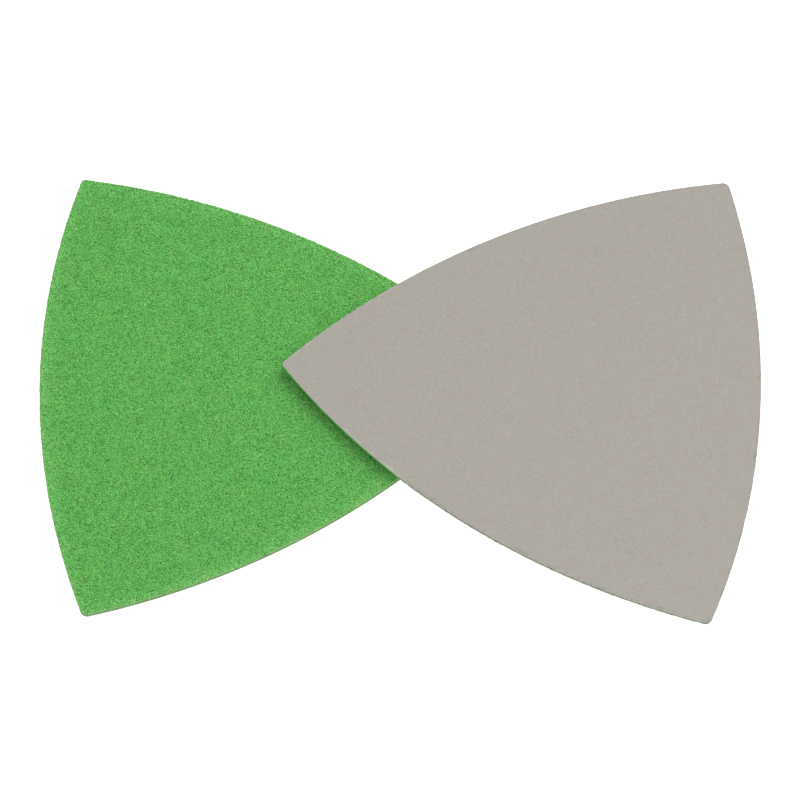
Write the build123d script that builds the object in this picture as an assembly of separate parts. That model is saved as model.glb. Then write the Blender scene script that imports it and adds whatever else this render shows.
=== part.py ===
from build123d import *
from math import cos, radians, sin, sqrt
import os

# Two loose triangular hook-and-loop sanding sheets for an oscillating multi tool, one lying partly on
# the other. The lower sheet lies flat with its loops up. The upper sheet is turned over, so its fine
# abrasive face is up. It leans on one tip of the lower sheet and on the surface that both lie on, and it
# curls a little about its own median, as coated paper does.
#
# Lengths are in millimetres and angles in degrees. +X runs from the lower sheet to the upper one, +Y runs
# towards the back, and +Z is up. The origin is the middle of the pair, on the surface that it lies on.

# Outline of a sheet
SIDE = 80.0  # from corner to corner, before the tips are rounded
BOW_RADIUS = 122.0  # each side is an arc that bows outwards
TIP_RADIUS = 1.1
SHARP_TIP_RADIUS = 0.6  # one tip is cut sharper than the other two

# Layers of a sheet, from its working face to its back, with their thicknesses
LAYERS = {
    "stearate_top_coat": 0.03,
    "size_coat": 0.04,
    "abrasive_grain": 0.06,
    "make_coat": 0.04,
    "backing_paper": 0.18,
    "laminating_adhesive": 0.05,
    "loop_ground_knit": 0.20,
    "loop_pile": 0.40,
}

# How the sheets lie. A heading is the direction of a sheet's sharp tip, seen from above.
CENTRE_SPACING_X = 54.5
CENTRE_SPACING_Y = -1.3
LOWER_HEADING = 122.7
UPPER_HEADING = 175.3
UPPER_PITCH = 1.45  # the upper sheet's sharp tip is raised by the sheet that it leans on
UPPER_ROLL = -0.65
CURL_RADIUS = 480.0  # of the upper sheet's underside, about its median

TIP_ANGLES = (0, 120, 240)
CORNER_DISTANCE = SIDE / sqrt(3)  # from the sheet's middle to a corner
BOW_CENTRE_DISTANCE = sqrt(BOW_RADIUS**2 - (SIDE / 2) ** 2) - CORNER_DISTANCE / 2


def sheet_outline():
    """A triangle with bowed sides: the area that three large discs share, with its tips rounded.
    The sharp tip points along +X."""
    discs = [
        Pos(BOW_CENTRE_DISTANCE * cos(radians(a)), BOW_CENTRE_DISTANCE * sin(radians(a))) * Circle(BOW_RADIUS)
        for a in TIP_ANGLES
    ]
    shared = discs[0] & discs[1] & discs[2]
    sharp_tip = shared.vertices().sort_by(Axis.X)[-1]
    shared = fillet(sharp_tip, SHARP_TIP_RADIUS)
    other_tips = shared.vertices().sort_by(Axis.X)[:2]
    return fillet(other_tips, TIP_RADIUS)


def flat_layer(low, high):
    """The part of a flat sheet between two heights above its underside."""
    return Pos(0, 0, low) * extrude(sheet_outline(), high - low)


def curled_layer(low, high):
    """The part of a sheet between two heights above its underside, curled up on both sides of local X."""
    outer = CURL_RADIUS - low
    inner = CURL_RADIUS - high
    ring = Circle(outer) - Circle(inner)
    tube = Pos(0, 0, CURL_RADIUS) * extrude(Plane.YZ * ring, SIDE, both=True)
    blank = Pos(0, 0, -SIDE / 2) * extrude(sheet_outline(), SIDE)
    return tube & blank


def stack(names, make_layer):
    """The named layers as solids, laid on each other from the underside up."""
    solids = {}
    low = 0.0
    for name in names:
        high = low + LAYERS[name]
        solids[name] = make_layer(low, high).solid()
        low = high
    return solids


def lower_sheet():
    """Lies flat, working face down and loops up."""
    place = Rot(0, 0, LOWER_HEADING)
    return {name: place * solid for name, solid in stack(LAYERS, flat_layer).items()}


def upper_sheet():
    """Lies loops down and working face up, with its lowest point on the surface."""
    lean = Rot(0, 0, UPPER_HEADING) * Rot(0, -UPPER_PITCH, 0) * Rot(UPPER_ROLL, 0, 0)
    solids = {name: lean * solid for name, solid in stack(reversed(LAYERS), curled_layer).items()}
    drop = solids["loop_pile"].bounding_box().min.Z
    place = Pos(CENTRE_SPACING_X, CENTRE_SPACING_Y, -drop)
    return {name: place * solid for name, solid in solids.items()}


def pair_of_sheets():
    """Every layer by node name, with the origin under the middle of the pair."""
    nodes = {f"lower_{name}": solid for name, solid in lower_sheet().items()}
    nodes.update({f"upper_{name}": solid for name, solid in upper_sheet().items()})
    middle = Compound(list(nodes.values())).bounding_box().center()
    return {name: Pos(-middle.X, -middle.Y) * solid for name, solid in nodes.items()}


os.makedirs("parts", exist_ok=True)
for node, solid in pair_of_sheets().items():
    export_step(solid, f"parts/{node}.step")
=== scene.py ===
from collections import namedtuple
import math

import bpy
import numpy as np
from mathutils import Matrix, Vector


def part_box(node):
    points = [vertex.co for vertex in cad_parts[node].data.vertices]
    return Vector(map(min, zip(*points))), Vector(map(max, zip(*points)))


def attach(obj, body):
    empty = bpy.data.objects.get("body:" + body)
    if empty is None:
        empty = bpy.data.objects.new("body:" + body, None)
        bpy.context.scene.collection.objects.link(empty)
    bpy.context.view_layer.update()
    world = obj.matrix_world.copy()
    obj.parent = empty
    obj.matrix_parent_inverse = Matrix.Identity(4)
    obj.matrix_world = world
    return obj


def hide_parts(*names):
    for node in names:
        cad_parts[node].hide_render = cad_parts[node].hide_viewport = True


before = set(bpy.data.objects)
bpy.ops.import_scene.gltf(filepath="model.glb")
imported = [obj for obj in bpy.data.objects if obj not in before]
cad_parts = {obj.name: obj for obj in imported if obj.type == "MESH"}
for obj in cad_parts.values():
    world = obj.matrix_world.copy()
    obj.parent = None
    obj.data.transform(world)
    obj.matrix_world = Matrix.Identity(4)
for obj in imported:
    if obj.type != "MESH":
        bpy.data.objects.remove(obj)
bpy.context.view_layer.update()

# Two triangular hook-and-loop sanding sheets. The lower one lies loops up. The upper one is turned over, so
# its abrasive face is up, and it leans on a tip of the lower one. Lengths are in millimetres up to
# Sheet.place, which gives metres in the row frame. A sheet's own frame has its middle at the origin, its
# sharp tip on +X and its underside at height 0.

MM = 0.001
TURN = 2 * math.pi

# A sheet's outline and how the sheets lie, as in the CAD model
SIDE = 80.0
BOW_RADIUS = 122.0
TIPS = ((0, 0.6), (TURN / 3, 1.1), (2 * TURN / 3, 1.1))  # each tip's direction and its rounding
LOWER_HEADING = 122.7
UPPER_HEADING = 175.3
UPPER_PITCH = 1.45
UPPER_ROLL = -0.65
CURL_RADIUS = 480.0
BOW_CENTRE = math.sqrt(BOW_RADIUS**2 - (SIDE / 2) ** 2) - SIDE / math.sqrt(3) / 2

LAYERS = [
    "stearate_top_coat",
    "size_coat",
    "abrasive_grain",
    "make_coat",
    "backing_paper",
    "laminating_adhesive",
    "loop_ground_knit",
    "loop_pile",
]
PREFIX = {"lower_sheet": "lower_", "upper_sheet": "upper_"}

# The slabs' meshes
RIM_SAMPLES = 36000  # for measuring along the rim
MIDDLE_SAMPLES = 720  # for finding a sheet's middle
RIM_STEPS = 900  # points round a slab
TIP_DETAIL = 3.0  # a radian of turning gets as many of them as this many mm of rim
COARSE_RINGS = np.array([0.3, 0.6, 0.85, 0.95, 0.985, 1.0])  # on a slab's plain face, as shares of the rim
CUT_ROWS = (0.15, 0.4, 0.65, 0.85)  # rows of points down a cut side, as shares of its height
CUT_WAVE = 0.35  # length of the waves in a cut side
FACE_CUT = (0.02, -0.7)  # height of the waves, and how many times that they are further out than the rim
PAPER_CUT = (0.05, -0.7)
KNIT_CUT = (0.06, -0.7)
MAT_CUT = (0.08, 0.5)
SHARP_ANGLE = 40.0
NOISE_SCATTER = (127.1, 311.7, 74.7, 43758.5453)  # large irregular numbers, so that neighbours differ

# The loops of the pile
LOOP_STEPS = 6
TUBE_SIDES = 3
YARN_RADII = (0.026, 0.042)
MAT_FILL = 0.74  # the share of the pile's height where the loops are matted together
FOOT_SHARE = 0.8  # loops start at this share of the mat's height
CROWN_SHARE = 0.93  # and end below this share of the pile's height,
CROWN_LIMIT = 0.96  # kinks included
LEAST_SPAN = 0.3  # the shortest loop, as a share of the longest
BOW_SHARE = 0.22  # how far loops bow sideways, as a share of the longest
ASIDE_KINK = 0.03
LIFT_KINK = 0.06  # as a share of a loop's rise
GRID_REACH = SIDE / 1.6  # past the tips
FOOT_JITTER = 0.6  # of the grid's pitch
SHORT_BIAS = 1.6  # most loops at the rim reach past it by little

# Colours and looks
DYE_FADING = 2.5  # a yarn's red and blue change by this power of its level
# Painted light: the pile is painted paler along the rim, over this width in mm.
RIM_LIGHT_WIDTH = 2.8  # of the paler pile along the rim
TIP_BLEND = 1.5  # on both sides of the origin, which is below the middle of the pair
STAIN_WIDTH = 0.18  # on average
STAIN_SPREAD = 2.6  # between the widths at both ends of the noise

# The floor, the light and the camera
FLOOR_HALF = 1.5  # m
FLOOR_DROP = 0.0001  # m
FLOOR_GLOW = 0.8
KEY_PLACE = (0.55, 0.65, 0.75)  # m
KEY_SIZE = 0.9  # m
KEY_WATTS = 6.6
AMBIENT = 0.66
VIEW_ELEVATION = 59.8
VIEW_DISTANCE = 530.6
VIEW_SENSOR = 36.0
VIEW_LENS = 150.7
VIEW_AIM = (0.0, -1.9, 0.0)  # from the middle between the sheets' middles
VIEW_CLIP = (0.05, 10.0)  # m


# ---------------------------------------------------------------- outline and noise


def bowed_reach(angle):
    """How far the area that three large discs share reaches from its middle in a direction."""
    reaches = []
    for tip, _ in TIPS:
        across = BOW_CENTRE * np.sin(angle - tip)
        reaches.append(BOW_CENTRE * np.cos(angle - tip) + np.sqrt(BOW_RADIUS**2 - across**2))
    return np.minimum.reduce(reaches)


def rim_radius(angle):
    """How far a sheet reaches from its middle in a local direction: the bowed triangle with rounded tips."""
    reach = bowed_reach(angle)
    for tip, radius in TIPS:
        centre = math.sqrt((BOW_RADIUS - radius) ** 2 - 0.75 * BOW_CENTRE**2) - BOW_CENTRE / 2
        tangent = math.atan2(
            radius * BOW_CENTRE * math.sqrt(0.75),
            (BOW_RADIUS - radius) * centre + radius * (centre + BOW_CENTRE / 2),
        )
        off_tip = (angle - tip + TURN / 2) % TURN - TURN / 2
        across = np.clip(centre * np.sin(off_tip) / radius, -1, 1)
        rounded = centre * np.cos(off_tip) + radius * np.sqrt(1 - across**2)
        reach = np.where(np.abs(off_tip) < tangent, rounded, reach)
    return reach


def inside_rim(x, y):
    """How far points are inside the rim, measured away from the middle."""
    return rim_radius(np.arctan2(y, x)) - np.hypot(x, y)


def rim_angles(count):
    """Directions that are spaced evenly along the rim, and closer together round its tips."""
    angles = np.linspace(0, TURN, RIM_SAMPLES + 1)
    reach = rim_radius(angles)
    runs = np.diff(np.stack([reach * np.cos(angles), reach * np.sin(angles)], 1), axis=0)
    course = np.unwrap(np.arctan2(runs[:, 1], runs[:, 0]))
    turning = np.abs(np.gradient(course))
    way = np.concatenate([[0], np.cumsum(np.hypot(runs[:, 0], runs[:, 1]) + TIP_DETAIL * turning)])
    return np.interp(np.arange(count) / count * way[-1], way, angles)


def smooth_noise(x, y, size, seed):
    """Noise from -1 to 1 over a plane, with features of that size."""
    u, v = x / size, y / size
    i, j = np.floor(u), np.floor(v)
    f, g = u - i, v - j
    f, g = f * f * (3 - 2 * f), g * g * (3 - 2 * g)
    by_x, by_y, by_seed, stretch = NOISE_SCATTER

    def corner(di, dj):
        h = np.sin((i + di) * by_x + (j + dj) * by_y + seed * by_seed) * stretch
        return 2 * (h - np.floor(h)) - 1

    near = corner(0, 0) * (1 - f) + corner(1, 0) * f
    far = corner(0, 1) * (1 - f) + corner(1, 1) * f
    return near * (1 - g) + far * g


# ---------------------------------------------------------------- where the sheets lie


class Sheet:
    """One sheet's place. Its layers' heights come from the frame, and so does its middle."""

    def __init__(self, body, heading, pitch=0.0, roll=0.0, curl=None):
        self.body = body
        self.prefix = PREFIX[body]
        self.curl = curl
        self.spans = self.layer_heights()
        turns = [
            Matrix.Rotation(math.radians(degrees), 3, axis)
            for degrees, axis in ((heading, "Z"), (-pitch, "Y"), (roll, "X"))
        ]
        self.turn = np.array(turns[0] @ turns[1] @ turns[2])
        self.middle = np.zeros(3)
        self.middle = self.find_middle()

    def layer_heights(self):
        """The heights between which each layer lies, read from the sheet that lies flat."""
        boxes = {name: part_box(PREFIX["lower_sheet"] + name) for name in LAYERS}
        spans = {name: (low.z / MM, high.z / MM) for name, (low, high) in boxes.items()}
        if self.body == "lower_sheet":
            return spans
        top = spans["loop_pile"][1]
        return {name: (top - high, top - low) for name, (low, high) in spans.items()}

    def find_middle(self):
        """Where the sheet's middle has to be for its pile to fill the CAD pile's box."""
        angles = np.arange(MIDDLE_SAMPLES) * TURN / MIDDLE_SAMPLES
        reach = rim_radius(angles)
        x, y = reach * np.cos(angles), reach * np.sin(angles)
        edges = [np.stack([x, y, np.full(len(x), height)], 1) for height in self.spans["loop_pile"]]
        mine = self.place(np.concatenate(edges)) / MM
        low, high = (np.array(corner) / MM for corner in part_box(self.prefix + "loop_pile"))
        return (low + high) / 2 - (mine.min(0) + mine.max(0)) / 2

    def place(self, points):
        """Local points in mm to the row frame, in metres."""
        p = np.array(points, float)
        if self.curl:
            p[..., 2] = self.curl - np.sqrt((self.curl - p[..., 2]) ** 2 - p[..., 1] ** 2)
        return (p @ self.turn.T + self.middle) * MM


LOWER = Sheet("lower_sheet", LOWER_HEADING)
UPPER = Sheet("upper_sheet", UPPER_HEADING, UPPER_PITCH, UPPER_ROLL, CURL_RADIUS)


# ---------------------------------------------------------------- meshes


def new_piece(name, sheet, layer, points, polygons, material, from_rim):
    """A mesh object from local points and lists of polygons, riding on its sheet as that layer. Its
    material can read each point's distance from the rim as an attribute."""
    mesh = bpy.data.meshes.new(name)
    mesh.vertices.add(len(points))
    mesh.vertices.foreach_set("co", sheet.place(points).ravel())
    corners = np.concatenate([p.ravel() for p in polygons])
    sizes = np.concatenate([np.full(len(p), p.shape[1]) for p in polygons])
    mesh.loops.add(len(corners))
    mesh.loops.foreach_set("vertex_index", corners)
    mesh.polygons.add(len(sizes))
    mesh.polygons.foreach_set("loop_start", np.cumsum(sizes) - sizes)
    mesh.update(calc_edges=True)
    mesh.validate()
    mesh.polygons.foreach_set("use_smooth", [True] * len(mesh.polygons))
    mesh.materials.append(material)
    rim = mesh.attributes.new("rim", "FLOAT", "POINT")
    rim.data.foreach_set("value", from_rim.astype(np.float32))
    piece = bpy.data.objects.new(name, mesh)
    bpy.context.scene.collection.objects.link(piece)
    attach(piece, sheet.body)
    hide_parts(sheet.prefix + layer)
    return piece


def slab(sheet, layer, material, rings, cut, seed, relief=None, relief_up=True, fill=1.0):
    """A closed slab that fills a layer, or that share of it, measured from the side away from the relief.
    relief(x, y) gives the depth of marks in its detailed face, which has that many rings. The cut side
    waves by cut[0], about a line that is cut[1] times as far outside the rim."""
    low, high = sheet.spans[layer]
    if relief_up:
        high = low + (high - low) * fill
    else:
        low = high - (high - low) * fill
    angles = rim_angles(RIM_STEPS)
    reach = rim_radius(angles)
    x, y = reach * np.cos(angles), reach * np.sin(angles)
    rows = []
    from_rim = []

    def add_row(share, height, detailed, wobble=0.0):
        px = x * share + wobble * np.cos(angles)
        py = y * share + wobble * np.sin(angles)
        z = np.full(RIM_STEPS, height)
        if detailed and relief is not None:
            z = z + relief(px, py) * (-1 if relief_up else 1)
        rows.append(np.stack([px, py, z], 1))
        from_rim.append(reach * (1 - share))

    fine_rings = np.append(np.arange(1, rings) / rings, [1 - 0.25 / rings, 1.0])
    for share in fine_rings if relief_up else COARSE_RINGS:
        add_row(share, high, relief_up)
    around = np.cumsum(np.hypot(np.diff(x, append=x[0]), np.diff(y, append=y[0])))
    for part in CUT_ROWS:
        wobble = cut[0] * (smooth_noise(around, around * 0 + part * 3, CUT_WAVE, seed) + cut[1])
        add_row(1.0, high - (high - low) * part, False, wobble)
    for share in (COARSE_RINGS if relief_up else fine_rings)[::-1]:
        add_row(share, low, not relief_up)

    points = np.concatenate(rows + [[[0, 0, high]], [[0, 0, low]]])
    from_rim = np.concatenate([*from_rim, [SIDE, SIDE]])
    j = np.arange(RIM_STEPS)
    k = (j + 1) % RIM_STEPS
    quads = [
        np.stack([i * RIM_STEPS + j, (i + 1) * RIM_STEPS + j, (i + 1) * RIM_STEPS + k, i * RIM_STEPS + k], 1)
        for i in range(len(rows) - 1)
    ]
    last = (len(rows) - 1) * RIM_STEPS
    fans = [
        np.stack([np.full(RIM_STEPS, len(points) - 2), j, k], 1),
        np.stack([np.full(RIM_STEPS, len(points) - 1), last + k, last + j], 1),
    ]
    name = sheet.prefix + layer + ("_piece" if fill == 1.0 else "_mat")
    piece = new_piece(name, sheet, layer, points, [*quads, *fans], material, from_rim)
    piece.data.set_sharp_from_angle(angle=math.radians(SHARP_ANGLE))
    return piece


def tubes(paths, radius):
    """Points and polygons of closed tubes along many paths of as many points each."""
    count, steps = paths.shape[:2]
    ahead = np.gradient(paths, axis=1)
    ahead /= np.linalg.norm(ahead, axis=2, keepdims=True) + 1e-12
    guide = np.cross(paths[:, -1] - paths[:, 0], paths[:, steps // 2] - paths[:, 0])
    guide += np.array([1e-4, 2e-4, 3e-4])  # a straight path needs a guide too
    guide /= np.linalg.norm(guide, axis=1, keepdims=True)
    beside = np.cross(ahead, np.cross(np.broadcast_to(guide[:, None], paths.shape), ahead))
    beside /= np.linalg.norm(beside, axis=2, keepdims=True) + 1e-12
    above = np.cross(ahead, beside)
    turns = np.arange(TUBE_SIDES) * TURN / TUBE_SIDES
    ring = beside[:, :, None] * np.cos(turns)[:, None] + above[:, :, None] * np.sin(turns)[:, None]
    points = paths[:, :, None] + ring * radius[:, None, None, None]
    i, k = np.meshgrid(np.arange(steps - 1) * TUBE_SIDES, np.arange(TUBE_SIDES), indexing="ij")
    n = (k + 1) % TUBE_SIDES
    quads = np.stack([i + k, i + n, i + TUBE_SIDES + n, i + TUBE_SIDES + k], -1).reshape(-1, 4)
    first = np.arange(count)[:, None, None] * steps * TUBE_SIDES
    ends = np.stack([np.arange(TUBE_SIDES)[::-1], (steps - 1) * TUBE_SIDES + np.arange(TUBE_SIDES)])
    return points.reshape(-1, 3), [(first + quads).reshape(-1, 4), (first + ends).reshape(-1, TUBE_SIDES)]


# ---------------------------------------------------------------- the loop pile


# An area of loops: their feet, their shades of yarn, the length of the longest, the least share of the
# free height that they rise, and how far they reach past the rim
Area = namedtuple("Area", "name feet shades longest least_rise overshoot")


def feet_in_sheet(rng, pitch, band=(0.02, SIDE)):
    """Places for loops on a jittered grid, over the band between two distances from the rim."""
    grid = np.arange(-GRID_REACH, GRID_REACH, pitch)
    x, y = (a.ravel() for a in np.meshgrid(grid, grid))
    x = x + rng.uniform(-pitch, pitch, len(x)) * FOOT_JITTER
    y = y + rng.uniform(-pitch, pitch, len(y)) * FOOT_JITTER
    inset = inside_rim(x, y)
    near, far = band
    keep = (inset > near) & (inset < far)
    return np.stack([x[keep], y[keep]], 1)


def loop_paths(rng, feet, low, high, up, longest, least_rise):
    """Loops of yarn that rise out of the mat at their feet, lean over and go back down."""
    count = len(feet)
    t = np.linspace(0, 1, LOOP_STEPS)
    heading = rng.uniform(0, TURN, count)
    span = rng.uniform(LEAST_SPAN, 1, count) * longest
    bow = rng.normal(0, BOW_SHARE, count) * longest
    foot = (high - low) * MAT_FILL * FOOT_SHARE
    rise = ((high - low) * CROWN_SHARE - foot) * rng.uniform(least_rise, 1, count)
    along = span[:, None] * (t - 0.5)
    aside = bow[:, None] * np.sin(math.pi * t) + rng.normal(0, ASIDE_KINK, (count, LOOP_STEPS))
    x = feet[:, :1] + along * np.cos(heading)[:, None] - aside * np.sin(heading)[:, None]
    y = feet[:, 1:] + along * np.sin(heading)[:, None] + aside * np.cos(heading)[:, None]
    kinks = 1 + rng.normal(0, LIFT_KINK, (count, LOOP_STEPS))
    lift = foot + rise[:, None] * np.sin(math.pi * t) ** 0.5 * kinks
    lift = np.clip(lift, foot, (high - low) * CROWN_LIMIT)
    z = low + lift if up else high - lift
    return np.stack([x, y, z], 2)


def keep_inside(paths, over):
    """Pulls the points that reach past the cut edge back to it, each path to its own small overshoot."""
    angle = np.arctan2(paths[..., 1], paths[..., 0])
    reach = np.hypot(paths[..., 0], paths[..., 1])
    limit = rim_radius(angle) + over[:, None]
    shrink = np.minimum(1, limit / np.maximum(reach, 1e-6))
    paths[..., 0] *= shrink
    paths[..., 1] *= shrink
    return paths


def loop_pieces(sheet, area, rng, up):
    """The loops of an area as several pieces, one for each shade of the yarn."""
    rng.shuffle(area.feet)
    low, high = sheet.spans["loop_pile"]
    pieces = []
    for i, shade in enumerate(area.shades):
        feet = area.feet[i :: len(area.shades)]
        paths = loop_paths(rng, feet, low, high, up, area.longest, area.least_rise)
        paths = keep_inside(paths, rng.uniform(0, 1, len(feet)) ** SHORT_BIAS * area.overshoot)
        points, polygons = tubes(paths, rng.uniform(*YARN_RADII, len(feet)))
        name = f"{sheet.prefix}{area.name}_{i + 1}"
        from_rim = inside_rim(points[:, 0], points[:, 1])
        pieces.append(new_piece(name, sheet, "loop_pile", points, polygons, shade, from_rim))
    return pieces


# ---------------------------------------------------------------- colours


def linear(red, green, blue):
    """A colour's linear values from its 8-bit ones."""
    parts = [v / 255 for v in (red, green, blue)]
    return (*[v / 12.92 if v < 0.04045 else ((v + 0.055) / 1.055) ** 2.4 for v in parts], 1)


def grey_level(v):
    return (v, v, v, 1)


def product(colour, factor):
    return tuple(c * k for c, k in zip(colour, factor))


def shade_of(colour, level):
    """A lighter or darker shade of a dye. Red and blue change faster than green, so a light one is pale."""
    red, green, blue, _ = colour
    return (red * level**DYE_FADING, green * level, blue * level**DYE_FADING, 1)


GREY = linear(177, 172, 164)
ROSY = (0.985, 0.96, 0.965, 1)
LEAFY = (1.015, 1.035, 1.025, 1)
COOL_GREEN = (0.177, 0.7, 0.139, 1)
WARM_GREEN = (0.213, 0.71, 0.139, 1)
# Paler greens for the loops on the lower sheet's rim: painted light, for the loose rim loops that are lit
# more than the pile inside
RIM_LIT_COOL = (0.31, 0.82, 0.245, 1)
RIM_LIT_WARM = (0.36, 0.83, 0.245, 1)
# Painted light: the upper sheet's pile is painted pale grey where its side stands over the bright floor, and
# keeps its green over the lower sheet
FLOOR_LIT_GREY = linear(172, 171, 161)
DARK_SPECK = (0.17, 0.52, 0.13, 1)
PALE_SPECK = (2.02, 1.42, 2.1, 1)
# Painted light: factors that paint the pile paler near the rim
RIM_LIGHT = (1.22, 1.12, 1.22, 1)
HALF_RIM_LIGHT = (1.09, 1.05, 1.09, 1)
# Painted light: the upper sheet's paper, coats and glue are painted this pale on its cut side where it lies
# over the lower sheet
TIP_PAINTED_LIGHT = linear(226, 237, 217)
TIP_GREEN = linear(107, 183, 88)
# The lower sheet's paper at its cut edge, darkened and tinted green: painted shade
SHADED_CUT_PAPER = linear(146, 174, 130)
CUT_KNIT = linear(108, 166, 92)
CUT_MAT = linear(132, 182, 114)
# The mat's greens are darker than the yarn's: painted shade under the loops
MAT_COOL = (0.16, 0.6, 0.135, 1)
MAT_WARM = (0.195, 0.61, 0.135, 1)
UNDER_COOL = (0.17, 0.64, 0.15, 1)
UNDER_WARM = (0.21, 0.65, 0.15, 1)


# ---------------------------------------------------------------- materials


class Look:
    """A material in the making: its Principled shader and the nodes that feed it. Noises work in the
    piece's own coordinates, in metres."""

    def __init__(self, name, roughness):
        self.material = bpy.data.materials.new(name)
        self.material.use_nodes = True
        self.tree = self.material.node_tree
        self.shader = self.tree.nodes["Principled BSDF"]
        self.shader.inputs["Roughness"].default_value = roughness
        self.shader.inputs["Specular IOR Level"].default_value = 0.3
        self.where = self.tree.nodes.new("ShaderNodeTexCoord").outputs["Object"]

    def feed(self, socket, value):
        """Gives a socket a value or another node's output."""
        if isinstance(value, bpy.types.NodeSocket):
            self.tree.links.new(value, socket)
        else:
            socket.default_value = value

    def add(self, kind, **inputs):
        node = self.tree.nodes.new(kind)
        for key, value in inputs.items():
            self.feed(node.inputs[key.replace("_", " ")], value)
        return node

    def noise(self, scale, detail, roughness=0.5):
        inputs = {"Vector": self.where, "Scale": scale, "Detail": detail, "Roughness": roughness}
        return self.add("ShaderNodeTexNoise", **inputs).outputs["Fac"]

    def maths(self, operation, *values):
        """A Math node's result."""
        node = self.add("ShaderNodeMath")
        node.operation = operation
        for socket, value in zip(node.inputs, values):
            self.feed(socket, value)
        return node.outputs[0]

    def ramp(self, source, *stops):
        """A colour ramp on a value."""
        node = self.add("ShaderNodeValToRGB", Fac=source)
        elements = node.color_ramp.elements
        while len(elements) < len(stops):
            elements.new(0.5)
        for element, (position, colour) in zip(elements, stops):
            element.position = position
            element.color = colour
        return node.outputs["Color"]

    def tone(self, source, *stops):
        """A grey ramp on a value."""
        return self.ramp(source, *((position, grey_level(v)) for position, v in stops))

    def mixed(self, share, first, second, blend="MIX"):
        node = self.add("ShaderNodeMix")
        node.data_type = "RGBA"
        node.blend_type = blend
        self.feed(node.inputs["Factor"], share)
        self.feed(node.inputs["A"], first)
        self.feed(node.inputs["B"], second)
        return node.outputs["Result"]

    def multiplied(self, first, second):
        return self.mixed(1.0, first, second, "MULTIPLY")

    def from_rim(self):
        """A point's distance from the rim, in mm."""
        node = self.add("ShaderNodeAttribute")
        node.attribute_name = "rim"
        return node.outputs["Fac"]

    def with_painted_rim_light(self, colour):
        """Painted light: paler towards the rim, where the loops stand looser and let more light through."""
        share = self.maths("DIVIDE", self.from_rim(), RIM_LIGHT_WIDTH)
        factor = self.ramp(share, (0.0, RIM_LIGHT), (0.25, RIM_LIGHT), (0.5, HALF_RIM_LIGHT), (1.0, grey_level(1.0)))
        return self.multiplied(colour, factor)

    def over_tip(self, colour, tip_colour):
        """A colour, and another one on the part of the upper sheet that lies over the lower one. On the upper
        sheet this paints light: its cut side's paper, coats and face rim are painted paler there, and its
        pile is painted pale grey elsewhere and keeps its green there.
        """
        x = self.add("ShaderNodeSeparateXYZ", Vector=self.where).outputs["X"]
        share = self.add("ShaderNodeMapRange", Value=x, From_Min=TIP_BLEND * MM, From_Max=-TIP_BLEND * MM)
        return self.mixed(share.outputs["Result"], colour, tip_colour)

    def bumps(self, height, strength, depth):
        node = self.add("ShaderNodeBump", Height=height, Strength=strength, Distance=depth)
        self.feed(self.shader.inputs["Normal"], node.outputs["Normal"])

    def finished(self, colour):
        self.feed(self.shader.inputs["Base Color"], colour)
        return self.material


def yarn(name, cool, warm, level, tip_colour=None):
    """Dyed nylon yarn. Its hue drifts over millimetres, and its brightness over tenths of one."""
    look = Look(name, 0.7)
    if tip_colour:
        hue = look.over_tip(shade_of(cool, level), shade_of(tip_colour, level))
    else:
        drift = look.noise(330.0, 3.0, 0.6)
        hue = look.ramp(drift, (0.3, shade_of(cool, level)), (0.7, shade_of(warm, level)))
    specks = look.ramp(look.noise(7500.0, 1.0), (0.3, DARK_SPECK), (0.7, PALE_SPECK))
    look.shader.inputs["Sheen Weight"].default_value = 0.1
    look.shader.inputs["Sheen Roughness"].default_value = 0.5
    return look.finished(look.with_painted_rim_light(look.multiplied(hue, specks)))


def matted(name, cool, warm, side, tip_side):
    """The matted foot of the pile, with painted shade in the pits between the loops, and another colour where
    it is cut.
    """
    look = Look(name, 0.85)
    hue = look.ramp(look.noise(330.0, 3.0, 0.6), (0.3, cool), (0.7, warm))
    pits = look.noise(6500.0, 1.0)
    # Painted shade: the pits between the loops are darkened
    depth = look.tone(pits, (0.36, 0.16), (0.44, 0.85), (0.7, 1.15))
    cut = look.tone(look.from_rim(), (0.0, 1.0), (0.05, 0.0))
    look.bumps(pits, 0.6, 0.00008)
    face = look.with_painted_rim_light(look.multiplied(hue, depth))
    return look.finished(look.mixed(cut, face, look.over_tip(side, tip_side)))


def knit_cloth(name, colour, tip_colour):
    """The knitted ground under the loops."""
    look = Look(name, 0.9)
    wales = look.add(
        "ShaderNodeTexWave", Vector=look.where, Scale=420.0, Distortion=3.0, Detail=2.0, Detail_Scale=2.0
    )
    tone = look.tone(look.noise(1500.0, 3.0), (0.3, 0.6), (0.7, 1.15))
    look.bumps(wales.outputs["Fac"], 0.5, 0.0001)
    return look.finished(look.multiplied(look.over_tip(colour, tip_colour), tone))


def abrasive_face(name, colour, stain, pale_tip_light):
    """Fine grain under a dry stearate coat, with a few dark specks, stained in places near the cut edge.
    Where the upper sheet lies over the lower one, that band is painted pale instead: painted light.
    """
    look = Look(name, 0.88)
    clouds = look.noise(500.0, 5.0, 0.75)
    grain = look.noise(3700.0, 3.0, 0.8)
    cells = look.add("ShaderNodeTexVoronoi", Vector=look.where, Scale=330.0)
    base = look.ramp(clouds, (0.3, product(colour, ROSY)), (0.7, product(colour, LEAFY)))
    fine = look.tone(grain, (0.3, 0.87), (0.7, 1.13))
    specks = look.tone(cells.outputs["Distance"], (0.02, 0.86), (0.05, 1.0))
    face = look.multiplied(look.multiplied(base, fine), specks)
    stains = look.noise(600.0, 3.0, 0.6)
    width = look.maths("MULTIPLY_ADD", stains, STAIN_SPREAD, STAIN_WIDTH - STAIN_SPREAD / 2)
    within = look.maths("SUBTRACT", width, look.from_rim())
    share = look.tone(within, (0.0, 0.0), (0.35, 0.7))
    look.bumps(grain, 0.5, 0.00003)
    return look.finished(look.mixed(share, face, look.over_tip(stain, pale_tip_light)))


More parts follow.
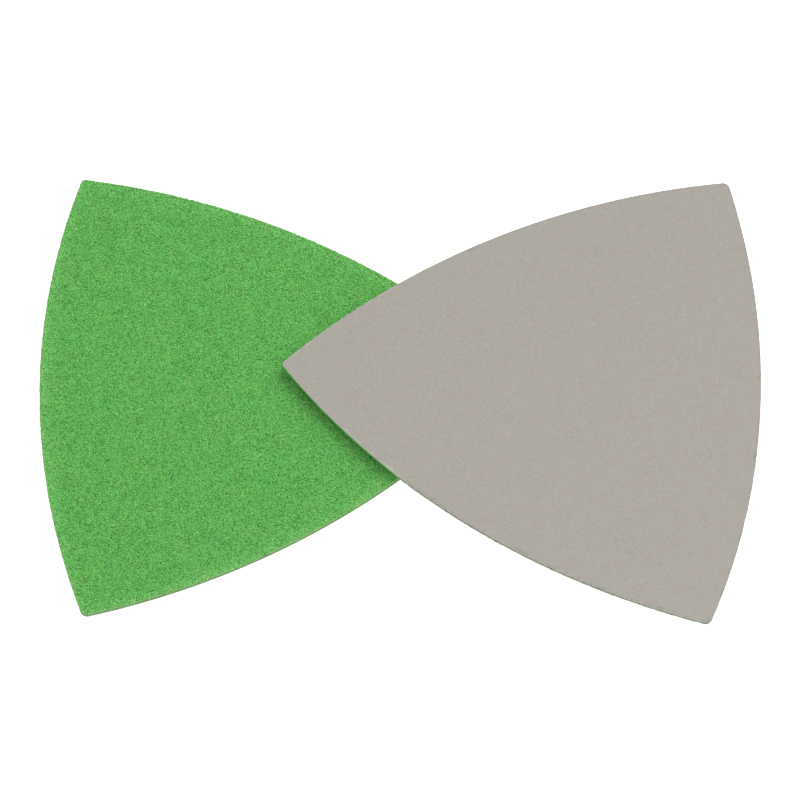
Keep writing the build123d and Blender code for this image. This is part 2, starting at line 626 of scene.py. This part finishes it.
def paper(name, colour, tip_colour):
    """Backing paper, fibrous where it is cut."""
    look = Look(name, 0.9)
    fibres = look.noise(2600.0, 3.0, 0.7)
    tone = look.tone(fibres, (0.3, 0.8), (0.6, 1.0))
    look.bumps(fibres, 0.4, 0.00004)
    return look.finished(look.multiplied(look.over_tip(colour, tip_colour), tone))


def coat(name, colour, tip_colour, spread, roughness):
    """A thin coat of resin, glue or bedded grain, seen only at the cut edge."""
    look = Look(name, roughness)
    tone = look.tone(look.noise(1800.0, 2.0), (0.3, 1 - spread), (0.7, 1 + spread))
    return look.finished(look.multiplied(look.over_tip(colour, tip_colour), tone))


# The thin coats by layer: the material's name, its colour at the cut edge, how much that varies, and its
# roughness.
# The lower sheet's colours are darker and greener than the upper's: painted shade on its cut edge.
LOWER_TONES = {
    "size_coat": ("green_dusted_size_resin", linear(140, 158, 128), 0.15, 0.6),
    "abrasive_grain": ("green_shaded_grain", linear(126, 140, 116), 0.25, 0.85),
    "make_coat": ("green_dusted_make_resin", linear(140, 160, 126), 0.15, 0.55),
    "laminating_adhesive": ("green_shaded_glue_film", linear(130, 170, 110), 0.1, 0.5),
}
UPPER_TONES = {
    "size_coat": ("size_resin", linear(177, 173, 164), 0.1, 0.6),
    "abrasive_grain": ("fine_grain", linear(172, 168, 159), 0.15, 0.85),
    "make_coat": ("make_resin", linear(177, 174, 164), 0.1, 0.55),
    "laminating_adhesive": ("glue_film", linear(180, 182, 170), 0.08, 0.5),
}
LOWER_COATS = {layer: coat(name, tone, tone, *rest) for layer, (name, tone, *rest) in LOWER_TONES.items()}
# Painted light: the upper sheet's coats are painted pale where it lies over the lower sheet
UPPER_COATS = {layer: coat(name, tone, TIP_PAINTED_LIGHT, *rest) for layer, (name, tone, *rest) in UPPER_TONES.items()}
COATS = {"lower_": LOWER_COATS, "upper_": UPPER_COATS}
# Painted light: the face's rim band is painted pale where the upper sheet lies over the lower one
FACE = abrasive_face("stearate_face", GREY, linear(150, 158, 136), linear(190, 194, 180))
PAPER = {
    # Painted shade: the lower sheet's cut paper is darkened
    "lower_": paper("green_shaded_cut_paper", SHADED_CUT_PAPER, SHADED_CUT_PAPER),
    # Painted light: the upper sheet's cut paper is painted pale where it lies over the lower sheet
    "upper_": paper("cut_paper", linear(188, 188, 178), TIP_PAINTED_LIGHT),
}
KNIT = {
    "lower_": knit_cloth("green_knit", CUT_KNIT, CUT_KNIT),
    # Painted light: the upper sheet's knit is painted pale grey away from the lower sheet
    "upper_": knit_cloth("floor_lit_green_knit", linear(176, 175, 165), TIP_GREEN),
}
MAT = {
    "lower_": matted("matted_green", MAT_COOL, MAT_WARM, CUT_MAT, CUT_MAT),
    # Painted light: the upper sheet's mat is painted pale grey at its cut side away from the lower sheet
    "upper_": matted("matted_floor_lit_green", UNDER_COOL, UNDER_WARM, linear(170, 168, 159), TIP_GREEN),
}


def yarns(name, cool, warm, levels, tip_colour=None):
    """A yarn in several shades."""
    return [yarn(f"{name}_{i + 1}", cool, warm, level, tip_colour) for i, level in enumerate(levels)]


LEVELS = (0.74, 0.85, 0.92, 0.97, 1.0, 1.03, 1.06, 1.09, 1.12, 1.16, 1.22)
YARNS = yarns("green_yarn", COOL_GREEN, WARM_GREEN, LEVELS)
# The rim loops' yarn is painted paler: painted light
RIM_YARNS = yarns("rim_lit_yarn", RIM_LIT_COOL, RIM_LIT_WARM, (0.85, 1.05))
# The upper sheet's rim loops are painted pale grey away from the lower sheet: painted light
FLOOR_LIT_YARNS = yarns("floor_lit_yarn", FLOOR_LIT_GREY, FLOOR_LIT_GREY, (0.8, 1.1), COOL_GREEN)


# ---------------------------------------------------------------- the two sheets


def face_relief(x, y):
    """Depth of the coat's faint unevenness."""
    return 0.006 * (1 + smooth_noise(x, y, 2.6, 5)) + 0.004 * (1 + smooth_noise(x, y, 0.7, 6))


def knit_relief(x, y):
    """Depth between the knit's ribs, which are 0.9 apart, and its rows, which are 0.7 apart."""
    ribs = 0.5 - 0.5 * np.cos(TURN * (x + 0.15 * smooth_noise(x, y, 1.5, 7)) / 0.9)
    rows = 0.5 - 0.5 * np.cos(TURN * y / 0.7)
    return 0.04 * ribs + 0.03 * rows + 0.02 * (1 + smooth_noise(x, y, 0.5, 8))


def mat_relief(x, y):
    """Depth of the hollows between tufts of the pile."""
    return 0.012 * (1 + smooth_noise(x, y, 0.9, 9)) + 0.02 * (1 + smooth_noise(x, y, 0.45, 10))


def dress_coats(sheet):
    """Gives the CAD coats that stay their materials."""
    for layer, material in COATS[sheet.prefix].items():
        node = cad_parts[sheet.prefix + layer]
        node.data.materials.clear()
        node.data.materials.append(material)


def build_sheet(sheet, areas, seed):
    """All of one sheet's pieces. A face that shows has more rings than one that lies underneath."""
    face_up = sheet is UPPER
    loops_up = not face_up
    face_rings, mat_rings = (90, 60) if face_up else (50, 90)
    cloth, felt = KNIT[sheet.prefix], MAT[sheet.prefix]
    dress_coats(sheet)
    slab(sheet, "stearate_top_coat", FACE, face_rings, FACE_CUT, seed, face_relief, face_up)
    slab(sheet, "backing_paper", PAPER[sheet.prefix], 6, PAPER_CUT, seed + 1)
    knit = slab(sheet, "loop_ground_knit", cloth, 50, KNIT_CUT, seed + 2, knit_relief, loops_up)
    mat = slab(sheet, "loop_pile", felt, mat_rings, MAT_CUT, seed + 3, mat_relief, loops_up, MAT_FILL)
    rng = np.random.default_rng(seed + 4)
    loops = [piece for area in areas for piece in loop_pieces(sheet, area, rng, loops_up)]


feet_rng = np.random.default_rng(11)
LOWER_AREAS = [
    Area("loops", feet_in_sheet(feet_rng, 0.26), YARNS, longest=0.5, least_rise=0.3, overshoot=0.1),
    Area("rim_loops", feet_in_sheet(feet_rng, 0.17, (0.0, 0.45)), RIM_YARNS, 0.4, 0.8, 0.32),
]
UPPER_AREAS = [
    Area("loops", feet_in_sheet(feet_rng, 0.36, (0.9, SIDE)), YARNS[1::2], 0.7, 0.3, 0.0),
    Area("rim_loops", feet_in_sheet(feet_rng, 0.19, (0.0, 0.9)), FLOOR_LIT_YARNS, 0.45, 0.5, 0.08),
]
build_sheet(LOWER, LOWER_AREAS, seed=20)
build_sheet(UPPER, UPPER_AREAS, seed=40)


# ---------------------------------------------------------------- floor, light and camera


def white_floor():
    """A pale floor bright enough to keep only a trace of shadow."""
    mesh = bpy.data.meshes.new("floor")
    corners = [(x * FLOOR_HALF, y * FLOOR_HALF, 0) for x, y in ((-1, -1), (1, -1), (1, 1), (-1, 1))]
    mesh.from_pydata(corners, [], [(0, 1, 2, 3)])
    floor = bpy.data.objects.new("floor", mesh)
    bpy.context.scene.collection.objects.link(floor)
    floor.location.z = -FLOOR_DROP
    material = bpy.data.materials.new("white_floor")
    material.use_nodes = True
    shader = material.node_tree.nodes["Principled BSDF"]
    shader.inputs["Base Color"].default_value = grey_level(0.9)
    shader.inputs["Roughness"].default_value = 0.9
    shader.inputs["Specular IOR Level"].default_value = 0.0
    shader.inputs["Emission Color"].default_value = grey_level(1.0)
    shader.inputs["Emission Strength"].default_value = FLOOR_GLOW
    mesh.materials.append(material)


def key_light():
    """A square softbox that faces the sheets from behind, on the right."""
    lamp = bpy.data.lights.new("key", "AREA")
    lamp.size = KEY_SIZE
    lamp.energy = KEY_WATTS
    light = bpy.data.objects.new("key", lamp)
    bpy.context.scene.collection.objects.link(light)
    light.location = KEY_PLACE
    light.rotation_euler = (-Vector(KEY_PLACE)).to_track_quat("-Z", "Y").to_euler()


def ambient_light():
    world = bpy.data.worlds.new("studio")
    bpy.context.scene.world = world
    world.use_nodes = True
    background = world.node_tree.nodes["Background"]
    background.inputs["Color"].default_value = grey_level(1.0)
    background.inputs["Strength"].default_value = AMBIENT


def add_camera():
    """Looks at the sheets from the front, well above them, through a long lens."""
    data = bpy.data.cameras.new("camera")
    data.sensor_width = VIEW_SENSOR
    data.lens = VIEW_LENS
    data.clip_start, data.clip_end = VIEW_CLIP
    camera = bpy.data.objects.new("camera", data)
    bpy.context.scene.collection.objects.link(camera)
    middle = (LOWER.middle + UPPER.middle) / 2
    aim = Vector((middle[0] + VIEW_AIM[0], middle[1] + VIEW_AIM[1], VIEW_AIM[2])) * MM
    rise = math.radians(VIEW_ELEVATION)
    back = Vector((0, -math.cos(rise), math.sin(rise)))
    camera.location = aim + back * VIEW_DISTANCE * MM
    camera.rotation_euler = (math.pi / 2 - rise, 0, 0)
    bpy.context.scene.camera = camera


white_floor()
key_light()
ambient_light()
add_camera()
bpy.context.scene.view_settings.view_transform = "Standard"
